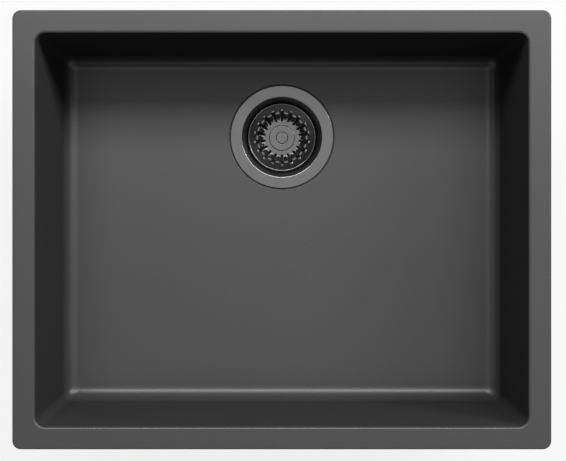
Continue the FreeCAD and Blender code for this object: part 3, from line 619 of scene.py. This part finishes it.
def build_bowl(bowl):
    """The moulded bowl: rim, walls, floor, drain seat, outside and the inserts' holes."""
    skin = Skin()
    half_x, half_y = RIM_HIGH.x, RIM_HIGH.y
    floor_at = drain_plane(bowl)
    lean = math.tan(bowl.draft)
    degrees = math.degrees(bowl.draft)
    open_x, open_y = half_x - bowl.border, half_y - bowl.border
    wall_x, wall_y = open_x - bowl.edge_round, open_y - bowl.edge_round

    def level(z):
        return lambda y: z

    def round_rim(edge, z):
        corner = bowl.rim_corner - edge
        return rounded_rectangle(half_x - edge, half_y - edge, corner, level(z))

    def sides(inset, corner, height):
        return rounded_rectangle(open_x - inset, open_y - inset, corner, height)

    # Inside: rim, rounded edge, leaning wall, round into the floor
    arris = bowl.arris
    rim = [round_rim(arris - r, z) for r, z in arc((0.0, -arris), arris, 0, 90, 4)]
    inside = []
    top_corner = bowl.corner + bowl.edge_round
    for drop in range(9):
        turn = math.radians(90 - (90 - degrees) * drop / 8)
        inset = bowl.edge_round * math.cos(turn)
        fall = bowl.edge_round * (1 - math.sin(turn))
        inside.append(sides(inset, top_corner - inset, level(-fall)))
    foot = bowl.floor_round * (1 - math.sin(bowl.draft)) / math.cos(bowl.draft)
    wall_start = -bowl.edge_round * (1 - math.sin(bowl.draft))

    def wall_inset(z):
        return bowl.edge_round - (z - wall_start) * lean

    wall_end = FLANGE_TOP + bowl.floor_round
    for k in range(1, 9):
        z = wall_start + (wall_end - wall_start) * k / 9
        inside.append(sides(wall_inset(z), bowl.corner, level(z)))
    foot_inset = wall_inset(FLANGE_TOP)
    steps = 16
    for k in range(steps + 1):
        turn = math.radians(degrees + (90 - degrees) * k / steps)
        inset = foot_inset + foot - bowl.floor_round * math.cos(turn)
        rise = bowl.floor_round * (1 - math.sin(turn))
        corner = bowl.corner + (bowl.foot_corner - bowl.corner) * (k / steps)
        inside.append(sides(inset, corner, lambda y, rise=rise: floor_at(y) + rise))
    last = foot_inset + foot
    inside.append(sides(last + 1.5 * MM, bowl.foot_corner, floor_at))

    # Drain seat: recess, hole, and the boss underneath
    edge = bowl.recess_edge
    under_seat = RIM_LOW.z
    seat = [circle(bowl.recess_radius + edge + 1.0 * MM, floor_at)]
    for r, z in arc((bowl.recess_radius + edge, -edge), edge, 90, 180, 4):
        seat.append(circle(r, lambda y, z=z: floor_at(y) + z))
    recess_floor = FLANGE_TOP - bowl.recess_depth
    bottom = FLANGE_TOP - bowl.floor_thickness
    hole, boss = bowl.drain_radius, bowl.boss_radius
    ease, soft = 0.5 * MM, 0.8 * MM
    recess, bevel = bowl.recess_radius, 0.4 * MM
    outline = [(recess, recess_floor + bevel), (recess - bevel, recess_floor)]
    outline += arc((hole + ease, recess_floor - ease), ease, 90, 180, 3)
    outline += [(hole, under_seat + ease), (hole + ease, under_seat), (boss - soft, under_seat)]
    outline += arc((boss - soft, under_seat + soft), soft, -90, 0, 3)[1:]
    outline.append((boss, bottom))
    seat += [circle(r, z) for r, z in outline]

    # Outside: rim underside, gusset, wall and foot
    under = -bowl.thickness
    lean_out = math.tan(bowl.outer_draft)
    degrees_out = math.degrees(bowl.outer_draft)
    skin_x = bowl.wall / math.cos(bowl.outer_draft)
    outer_corner = bowl.corner + bowl.wall
    rim_edge = [round_rim(0.0, under + soft), round_rim(soft, under)]

    def outer(extra, corner, z):
        return rounded_rectangle(wall_x + skin_x + extra, wall_y + skin_x + extra, corner, level(z))

    outside = [
        outer(bowl.gusset, outer_corner + bowl.gusset, under),
        outer(0.3 * MM, outer_corner, under - bowl.gusset),
    ]
    foot_z = bottom + bowl.outer_round
    for k in range(1, 7):
        z = under - bowl.gusset + (foot_z - under + bowl.gusset) * k / 7
        outside.append(outer(z * lean_out, outer_corner, z))
    outer_foot = bowl.outer_round * (1 - math.sin(bowl.outer_draft)) / math.cos(bowl.outer_draft)
    for k in range(9):
        turn = math.radians(degrees_out + (90 - degrees_out) * k / 8)
        inset = -bottom * lean_out + outer_foot - bowl.outer_round * math.cos(turn)
        rise = bowl.outer_round * (1 - math.sin(turn))
        corner = outer_corner - (outer_corner - 4 * MM) * k / 8
        outside.append(outer(-inset, corner, bottom + rise))

    rim_first, rim_last = skin.stack(rim)
    inside_first, inside_last = skin.stack(inside)
    skin.strip(rim_last, inside_first)
    seat_first, seat_last = skin.stack(seat)
    skin.fill(inside_last, seat_first)
    edge_first, edge_last = skin.stack(rim_edge)
    skin.strip(rim_first, edge_first)
    outside_first, outside_last = skin.stack(outside)
    holes = []
    for x, y in clip_places(bowl):
        mouth = skin.loop(hexagon(x, y, bowl.insert_flats, under))
        top = skin.loop(hexagon(x, y, bowl.insert_flats, under + bowl.insert_depth))
        skin.strip(mouth, top)
        skin.cap(top)
        holes.append(mouth)
    skin.fill(edge_last, outside_first, *holes)
    skin.fill(outside_last, seat_last)
    finish_piece("bowl", skin, "sink", "composite", "sink_bowl", sharp=40.0)


# Points across each spoke and each window of the dish
SPOKE_STEPS, WINDOW_STEPS = 3, 12

# Holes for the stem, in the knob, the basket's floor and the seal
KNOB_BORE, CUP_BORE, SEAL_BORE = 3.05 * MM, 3.1 * MM, 7.1 * MM

# The gasket under the bowl: its hole, and the ridges across its faces
GASKET_BORE, GASKET_RIDGES = 46 * MM, 5


def polar_sheet(skin, rings, holes):
    """Faces between rings of points; holes says which cells stay open."""
    made = [skin.loop(points) for points in rings]
    for i, (first, second) in enumerate(zip(made, made[1:])):
        for j in range(len(first)):
            if holes(i, j):
                continue
            k = (j + 1) % len(first)
            skin.mesh.faces.new((first[j], first[k], second[k], second[j]))


def at_drain(radius, turn, z):
    """A point by its reach and bearing from the drain's axis, bearing clockwise from +Y."""
    return (DRAIN[0] + radius * math.sin(turn), DRAIN[1] + radius * math.cos(turn), z)


def build_dish(waste):
    """Flange, lip, throat and windowed floor of the dish, drawn as one pressed sheet."""
    floor = SEAL_LOW.z - 0.4 * MM
    pocket_floor = floor - waste.pocket_depth
    corner = waste.dish_corner
    small = 1.2 * MM
    line = [(waste.screw_bore, pocket_floor), (waste.pocket - small, pocket_floor)]
    line += arc((waste.pocket - small, pocket_floor + small), small, -90, 0, 3)[1:]
    line += arc((waste.pocket + small, floor - small), small, 180, 90, 3)
    windows_from = len(line)
    line += [(waste.window_inner, floor), (waste.window_outer, floor)]
    line += arc((waste.neck - corner, floor + corner), corner, -90, 0, 5)
    taper_foot = FLANGE_TOP - waste.taper
    slant = math.degrees(math.atan2(waste.throat - waste.neck, FLANGE_TOP - waste.lip - taper_foot))
    line += [(waste.neck, taper_foot - 0.5 * MM), (waste.neck + 0.1 * MM, taper_foot)]
    line += arc((waste.throat + waste.lip, FLANGE_TOP - waste.lip), waste.lip, 180 - slant, 90, 10)
    edge = waste.flange_edge
    line += arc((FLANGE_RADIUS - edge, FLANGE_TOP - edge), edge, 90, 0, 3)
    cells = SPOKE_STEPS + WINDOW_STEPS
    rings = []
    for radius, z in line:
        spoke = math.asin(min(1.0, waste.spoke / 2 / radius))
        ring = []
        for window in range(waste.windows):
            middle = 2 * math.pi * window / waste.windows
            half = math.pi / waste.windows
            for k in range(SPOKE_STEPS):
                ring.append(at_drain(radius, middle + spoke * (2 * k / SPOKE_STEPS - 1), z))
            open_turn = 2 * (half - spoke)
            for k in range(WINDOW_STEPS):
                ring.append(at_drain(radius, middle + spoke + open_turn * k / WINDOW_STEPS, z))
        rings.append(ring)
    skin = Skin()
    polar_sheet(skin, rings, lambda i, j: i == windows_from and j % cells >= SPOKE_STEPS)
    finish_piece("dish", skin, "sink", "dish_steel", "strainer_dish", sharp=50.0, sheet=waste.sheet)


def build_waste_body(waste):
    """Moulded cup and hub, and the outlet with its helical thread."""
    top, end = WASTE_HIGH.z, WASTE_LOW.z
    flange_under = top - waste.flange
    cup_foot = end + waste.outlet_length
    inner = waste.cup - waste.wall
    soft = 1.0 * MM
    root = waste.outlet - waste.thread
    reach = reach_of(WASTE_LOW, WASTE_HIGH)
    skin = Skin()
    outline = [
        (waste.outlet_bore, end + 1.0 * MM, 0.4 * MM),
        (root, end + 1.0 * MM, 0.4 * MM),
        (root, cup_foot, soft),
        (waste.cup, cup_foot, 4 * MM),
        (waste.cup, flange_under, soft),
        (reach, flange_under, 0.6 * MM),
        (reach, top, 0.6 * MM),
        (inner, top, 0.6 * MM),
        (inner, cup_foot + waste.wall, 3 * MM),
        (waste.outlet_bore, cup_foot + waste.wall, soft),
    ]
    skin.turned(rounded(outline))
    hub_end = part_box("hub_nut")[0].z
    hub_top = hub_end + waste.hub_length
    outline = [
        (waste.screw_bore, hub_end + waste.nut_height, 0.0),
        (waste.nut_flats / 2, hub_end + waste.nut_height, 0.0),
        (waste.nut_flats / 2 + 0.9 * MM, hub_end, 0.3 * MM),
        (waste.hub, hub_end, 0.6 * MM),
        (waste.hub, hub_top, 0.8 * MM),
        (waste.screw_bore, hub_top, 0.3 * MM),
    ]
    skin.turned(rounded(outline), steps=96)
    for side in range(4):
        turn = math.radians(90 * side)
        inner_end, outer_end = waste.hub - 0.5 * MM, waste.outlet_bore + 0.5 * MM
        loops = []
        for z in (hub_end, hub_end + waste.rib_height):
            loop = []
            for r, t in ((inner_end, -1), (outer_end, -1), (outer_end, 1), (inner_end, 1)):
                across = t * waste.rib / 2
                x = DRAIN[0] + r * math.cos(turn) - across * math.sin(turn)
                y = DRAIN[1] + r * math.sin(turn) + across * math.cos(turn)
                loop.append((x, y, z))
            loops.append(skin.loop(loop))
        skin.strip(*loops)
        skin.cap(loops[0])
        skin.cap(loops[1])
    thread_skin(skin, waste, root, end, cup_foot - 3 * MM)
    finish_piece("waste_cup", skin, "sink", "waste_plastic", "waste_body")


def thread_skin(skin, waste, root, low, high):
    """A sleeve whose outside is a helical thread that fades at both ends."""
    steps = 72
    per_turn = 8
    rows = int((high - low) / waste.pitch * per_turn)
    loops = []
    for row in range(rows + 1):
        z = low + (high - low) * row / rows
        fade = min(1.0, (z - low) / (1.2 * MM), (high - z) / (2.5 * MM))
        loop = []
        for k in range(steps):
            turn = 2 * math.pi * k / steps
            phase = ((z - low) / waste.pitch - k / steps) % 1.0
            crest = min(1.0, max(0.0, 1.7 - 3.4 * abs(phase - 0.5)))
            radius = root + waste.thread * crest * max(0.0, fade)
            loop.append((DRAIN[0] + radius * math.cos(turn), DRAIN[1] + radius * math.sin(turn), z))
        loops.append(loop)
    inner = [circle(waste.outlet_bore, z, steps) for z in (high, low)]
    first, last = skin.stack(loops + inner)
    skin.strip(last, first)


def build_cup(basket):
    """Basket cup: floor with slots, flutes, shoulder, sloping collar and rolled rim."""
    top = CUP_HIGH.z
    floor = KNOB_LOW.z
    shoulder = floor + basket.nose_height
    bead = basket.bead
    bead_middle = basket.collar + bead
    cone_top = top - 2 * bead
    slope = (cone_top - shoulder) / (basket.collar - basket.nose_outer)

    def cone_at(r):
        return shoulder + (r - basket.nose_outer) * slope

    # Each ring: reach and height on a ridge, then reach and height in a flute
    foot, reach = basket.floor, basket.flute_foot
    inner, crest = basket.nose_inner, basket.flute_top
    line = []

    def same(r, z):
        line.append((r, z, r, z))

    for r in (CUP_BORE, 9.0 * MM, 15.0 * MM, 18.0 * MM):
        same(r, floor)
    slot_from = len(line)
    same(basket.slot_start, floor)
    small = 0.6 * MM
    slot_length = reach - basket.slot_start
    for t in (0.03, 0.09, 0.17, 0.5, 0.83, 0.91, 0.97, 1.0):
        bend = math.radians(60 * max(0.0, t - 0.09) / 0.91)
        flat = min(basket.slot_start + slot_length * t, foot - 0.35 * MM)
        r = flat + small * math.sin(bend)
        z = floor + small * (1 - math.cos(bend))
        line.append((r, z, basket.slot_start + slot_length * t, floor))
    slot_to = len(line) - 1
    ridge_low, flute_low = line[-1][:2], (reach, floor)
    flat_to = crest + 0.8 * MM
    flat = cone_at(flat_to) - 0.1 * MM
    flute_high = (crest - 0.75 * MM, flat - 0.25 * MM)
    ridge_high = (inner - 0.5 * MM, shoulder - 0.25 * MM)
    for k in range(1, 9):
        t = k / 8
        swell = 0.35 * MM * math.sin(math.pi * t)
        ridge = [a + (b - a) * t for a, b in zip(ridge_low, ridge_high)]
        flute = [a + (b - a) * t for a, b in zip(flute_low, flute_high)]
        line.append((*ridge, flute[0] + swell, flute[1]))
    shoulder_from = len(line)
    line.append((inner - 0.2 * MM, shoulder, crest - 0.5 * MM, flat))
    line.append((basket.nose_outer + 0.1 * MM, shoulder, flat_to, flat))
    shoulder_to = len(line)
    lift = 0.25 * MM
    line.append((basket.nose_outer + 0.35 * MM, shoulder + lift, flat_to + lift, flat + lift))
    for r in (31.6 * MM, 32.4 * MM, 33.4 * MM, 34.6 * MM):
        same(r, cone_at(r))
    same(basket.collar - 0.1 * MM, cone_top - 0.05 * MM)
    for r, z in arc((bead_middle, top - bead), bead, 180, -40, 10):
        same(r, z)

    half_turn = math.pi / basket.flutes
    shares = (0.12, 0.28, 0.46, 0.64, 0.82, 1.0)

    def bearings(r, row):
        """Bearings across one flute, from its middle to the middle of the next ridge."""
        wide = basket.slot / 2
        if slot_from <= row <= slot_to:
            end = min(r - basket.slot_start, reach - r)
            if end < wide:
                wide = max(0.3 * wide, math.sqrt(wide**2 - (wide - end) ** 2))
        slot = math.asin(wide / max(r, basket.slot_start - 3 * MM))
        return [0.0, slot / 2, slot] + [slot + (half_turn - slot) * s for s in shares]

    valley = math.radians(2.7)

    def flute_share(turn, row):
        ridge = math.radians(5.2 if shoulder_from <= row < shoulder_to else 6.2)
        t = min(1.0, max(0.0, (turn - valley) / (ridge - valley)))
        return 1.0 - t * t * (3 - 2 * t)

    rings = []
    for row, (ridge_r, ridge_z, flute_r, flute_z) in enumerate(line):
        half = bearings(flute_r, row)
        across = [-t for t in reversed(half[1:])] + half[:-1]
        ring = []
        for flute in range(basket.flutes):
            middle = 2 * half_turn * flute
            for turn in across:
                w = flute_share(abs(turn), row)
                r = ridge_r + (flute_r - ridge_r) * w
                z = ridge_z + (flute_z - ridge_z) * w
                ring.append(at_drain(r, middle + turn, z))
        rings.append(ring)
    per_flute = len(rings[0]) // basket.flutes
    steps_beside = len(shares)

    def is_slot(i, j):
        within = j % per_flute
        return slot_from <= i < slot_to and steps_beside <= within < per_flute - steps_beside + 1

    skin = Skin()
    polar_sheet(skin, rings, is_slot)
    finish_piece("basket", skin, "basket", "basket_steel", "basket_cup", sheet=basket.sheet)


def build_knob(basket):
    """The low knob on the basket, and the plate in its top."""
    low, high = KNOB_LOW.z, KNOB_HIGH.z
    under = high - basket.knob_disc
    reach = reach_of(KNOB_LOW, KNOB_HIGH)
    plate = reach_of(BUTTON_LOW, BUTTON_HIGH)
    seat = BUTTON_LOW.z
    outline = [
        (KNOB_BORE, low, 0.0),
        (basket.knob_foot, low, 0.2 * MM),
        (basket.knob_foot, under, 0.5 * MM),
        (reach, under, 0.3 * MM),
        (reach, high, 0.9 * MM),
        (plate + 0.55 * MM, high, 0.35 * MM),
        (plate + 0.15 * MM, high - 0.5 * MM, 0.0),
        (plate + 0.1 * MM, seat, 0.0),
        (0.0, seat, 0.0),
        (0.0, low + 1.9 * MM, 0.0),
        (KNOB_BORE, low + 1.9 * MM, 0.0),
    ]
    skin = Skin()
    skin.turned(rounded(outline), steps=96)
    finish_piece("knob", skin, "basket", "knob_steel", "knob_cap")
    top = BUTTON_HIGH.z
    outline = [(0.0, seat, 0.0), (plate, seat, 0.0), (plate, top, 0.6 * MM), (0.0, top, 0.0)]
    skin = Skin()
    skin.turned(rounded(outline), steps=96)
    finish_piece("button", skin, "basket", "knob_steel", "knob_button")


def build_seals():
    """Rubber disc with a thinner, slightly dished lip; ribbed body gasket."""
    low, high = SEAL_LOW.z, SEAL_HIGH.z
    reach = reach_of(SEAL_LOW, SEAL_HIGH)
    outline = [
        (SEAL_BORE, low, 0.2 * MM),
        (reach - 6 * MM, low, 1.0 * MM),
        (reach - 5 * MM, low + 0.7 * MM, 1.0 * MM),
        (reach - 0.8 * MM, low, 0.3 * MM),
        (reach, low + 0.3 * MM, 0.3 * MM),
        (reach - 3.5 * MM, high - 0.8 * MM, 3.0 * MM),
        (reach - 9 * MM, high, 3.0 * MM),
        (SEAL_BORE, high, 0.2 * MM),
    ]
    skin = Skin()
    skin.turned(rounded(outline))
    finish_piece("seal", skin, "seal", "gasket_rubber", "plug_seal")

    low, high = GASKET_LOW.z, GASKET_HIGH.z
    outer = reach_of(GASKET_LOW, GASKET_HIGH)
    pitch = (outer - GASKET_BORE) / GASKET_RIDGES
    upper = []
    for k in range(GASKET_RIDGES):
        start = outer - pitch * k
        upper += [(start, high - 0.35 * MM), (start - pitch * 0.5, high)]
    upper.append((GASKET_BORE, high - 0.35 * MM))
    outline = upper + [(r, low + high - z) for r, z in reversed(upper)]
    skin = Skin()
    skin.turned(outline)
    finish_piece("body_washer", skin, "sink", "gasket_rubber", "body_gasket", sharp=60.0)


def dress_nodes():
    """Finishes of the construction's nodes that stay in sight as they are."""
    for slot, names in (
        ("insert_brass", ("rim_inserts", "hub_nut")),
        ("gasket_rubber", ("flange_gasket",)),
        ("fastener_steel", ("clamp_screw", "basket_stem", "stem_nut", "stem_clip")),
        ("carrier_plastic", ("click_ring", "seal_carrier")),
    ):
        for name in names:
            dress_node(name, FINISHES[slot])


# Studio

# Soft lamps: name, place, width along X, depth and power in watts
LAMPS = (
    ("key strip", (0.10, 0.98, 1.72), 1.8, 0.47, 33.0),
    ("right strip", (1.75, 0.98, 1.72), 1.1, 0.47, 32.0),
    ("overhead", (0.20, 0.00, 2.40), 2.8, 1.8, 11.5),
)


COVE_RADIUS, COVE_HEIGHT, COVE_STEPS = 30.0, 24.0, 64


def cove_ring(radius, z):
    turns = [2 * math.pi * k / COVE_STEPS for k in range(COVE_STEPS)]
    return [(radius * math.cos(turn), radius * math.sin(turn), z) for turn in turns]


def build_studio(studio):
    """Floor and backdrop in one curved sheet, room light, lamps and camera."""
    scene = bpy.context.scene
    scene.view_settings.view_transform = "Standard"

    material = bpy.data.materials.new("pale floor")
    material.use_nodes = True
    tree = material.node_tree
    tree.nodes.clear()
    out = tree.nodes.new("ShaderNodeOutputMaterial")
    paper = place(tree, "ShaderNodeBsdfDiffuse", Color=(*studio.floor_colour, 1.0))
    glow = place(tree, "ShaderNodeEmission", Color=(1, 1, 1, 1), Strength=1.0)
    seen = tree.nodes.new("ShaderNodeLightPath")
    rays = maths(tree, "MAXIMUM", seen.outputs["Is Camera Ray"], seen.outputs["Is Glossy Ray"])
    rays = maths(tree, "MAXIMUM", rays, seen.outputs["Is Transmission Ray"])
    mix = tree.nodes.new("ShaderNodeMixShader")
    link = tree.links.new
    link(maths(tree, "MULTIPLY", rays, 0.85), mix.inputs[0])
    link(paper.outputs[0], mix.inputs[1])
    link(glow.outputs[0], mix.inputs[2])
    side = tree.nodes.new("ShaderNodeNewGeometry")
    clear = tree.nodes.new("ShaderNodeBsdfTransparent")
    through = tree.nodes.new("ShaderNodeMixShader")
    below = maths(tree, "MULTIPLY", side.outputs["Backfacing"], seen.outputs["Is Camera Ray"])
    link(below, through.inputs[0])
    link(mix.outputs[0], through.inputs[1])
    link(clear.outputs[0], through.inputs[2])
    link(through.outputs[0], out.inputs["Surface"])

    floor_z = WASTE_LOW.z - 1 * MM
    flat_to = COVE_RADIUS * 0.8
    bend = COVE_RADIUS * 0.2
    outline = [(0.001, floor_z), (flat_to, floor_z)]
    outline += arc((flat_to, floor_z + bend), bend, -90, 0, 10)
    outline.append((COVE_RADIUS, floor_z + COVE_HEIGHT))
    cove = Skin()
    middle = cove.stack([cove_ring(r, z) for r, z in outline])[0]
    cove.cap(middle)
    bmesh.ops.recalc_face_normals(cove.mesh, faces=cove.mesh.faces)
    cove.mesh.faces.ensure_lookup_table()
    if cove.mesh.faces[-1].normal.z < 0:
        bmesh.ops.reverse_faces(cove.mesh, faces=cove.mesh.faces)
    floor = cove.to_object("floor_and_backdrop", material)

    world = bpy.data.worlds.new("even room light")
    world.use_nodes = True
    sky = world.node_tree.nodes["Background"]
    sky.inputs["Color"].default_value = (1.0, 1.0, 1.0, 1.0)
    eye = world.node_tree.nodes.new("ShaderNodeLightPath")
    strength = maths(world.node_tree, "MAXIMUM", eye.outputs["Is Camera Ray"], studio.room)
    world.node_tree.links.new(strength, sky.inputs["Strength"])
    scene.world = world

    for name, spot, wide, deep, power in LAMPS:
        data = bpy.data.lights.new(name, "AREA")
        data.shape = "RECTANGLE"
        data.size = wide
        data.size_y = deep
        data.energy = power
        lamp = put(name, data, spot)
        lamp.rotation_euler = (-math.atan2(spot[1], spot[2]), 0.0, 0.0)

    data = bpy.data.cameras.new("camera")
    data.lens = studio.lens
    data.sensor_width = 36.0
    data.shift_y = studio.shift
    spot = (studio.camera_side, studio.camera_back, studio.camera_height)
    camera = put("camera", data, spot)
    scene.camera = camera


# Operators


class SINK_OT_finishes(bpy.types.Operator):
    """Make the materials of the sink and its waste"""

    bl_idname = "sink.finishes"
    bl_label = "Finishes"

    def execute(self, context):
        make_finishes(context.scene.sink_finish)
        dress_nodes()
        return {"FINISHED"}


class SINK_OT_bowl(bpy.types.Operator):
    """Build the moulded bowl with its rim, recess and drain seat"""

    bl_idname = "sink.bowl"
    bl_label = "Bowl"

    def execute(self, context):
        build_bowl(context.scene.sink_bowl)
        return {"FINISHED"}


class SINK_OT_dish(bpy.types.Operator):
    """Build the strainer's pressed dish"""

    bl_idname = "sink.dish"
    bl_label = "Strainer dish"

    def execute(self, context):
        build_dish(context.scene.sink_waste)
        return {"FINISHED"}


class SINK_OT_waste_body(bpy.types.Operator):
    """Build the waste body with its threaded outlet"""

    bl_idname = "sink.waste_body"
    bl_label = "Waste body"

    def execute(self, context):
        build_waste_body(context.scene.sink_waste)
        return {"FINISHED"}


class SINK_OT_basket(bpy.types.Operator):
    """Build the fluted basket and its knob"""

    bl_idname = "sink.basket"
    bl_label = "Basket"

    def execute(self, context):
        build_cup(context.scene.sink_basket)
        build_knob(context.scene.sink_basket)
        return {"FINISHED"}


class SINK_OT_seals(bpy.types.Operator):
    """Build the rubber seal and the body gasket"""

    bl_idname = "sink.seals"
    bl_label = "Seals"

    def execute(self, context):
        build_seals()
        return {"FINISHED"}


class SINK_OT_studio(bpy.types.Operator):
    """Set up the floor, the light and the camera"""

    bl_idname = "sink.studio"
    bl_label = "Studio"

    def execute(self, context):
        build_studio(context.scene.sink_studio)
        return {"FINISHED"}


OPERATORS = (
    SINK_OT_finishes,
    SINK_OT_bowl,
    SINK_OT_dish,
    SINK_OT_waste_body,
    SINK_OT_basket,
    SINK_OT_seals,
    SINK_OT_studio,
)

SETTINGS = (
    ("sink_bowl", SinkBowlSettings),
    ("sink_waste", SinkWasteSettings),
    ("sink_basket", SinkBasketSettings),
    ("sink_finish", SinkFinishSettings),
    ("sink_studio", SinkStudioSettings),
)


class SINK_PT_panel(bpy.types.Panel):
    """Lists the steps that build the sink"""

    bl_idname = "SINK_PT_panel"
    bl_label = "Undermount sink"
    bl_space_type = "VIEW_3D"
    bl_region_type = "UI"
    bl_category = "Sink"

    def draw(self, context):
        for step in OPERATORS:
            self.layout.operator(step.bl_idname)
        for name, group in SETTINGS:
            box = self.layout.box()
            box.label(text=group.__name__)
            for prop in group.__annotations__:
                box.prop(getattr(context.scene, name), prop)


def register():
    for name, group in SETTINGS:
        bpy.utils.register_class(group)
        setattr(bpy.types.Scene, name, PointerProperty(type=group))
    for step in OPERATORS:
        bpy.utils.register_class(step)
    bpy.utils.register_class(SINK_PT_panel)


def unregister():
    bpy.utils.unregister_class(SINK_PT_panel)
    for step in reversed(OPERATORS):
        bpy.utils.unregister_class(step)
    for name, group in reversed(SETTINGS):
        delattr(bpy.types.Scene, name)
        bpy.utils.unregister_class(group)


def main():
    register()
    bpy.ops.sink.finishes()
    bpy.ops.sink.bowl()
    bpy.ops.sink.dish()
    bpy.ops.sink.waste_body()
    bpy.ops.sink.basket()
    bpy.ops.sink.seals()
    bpy.ops.sink.studio()


if __name__ == "__main__":
    main()
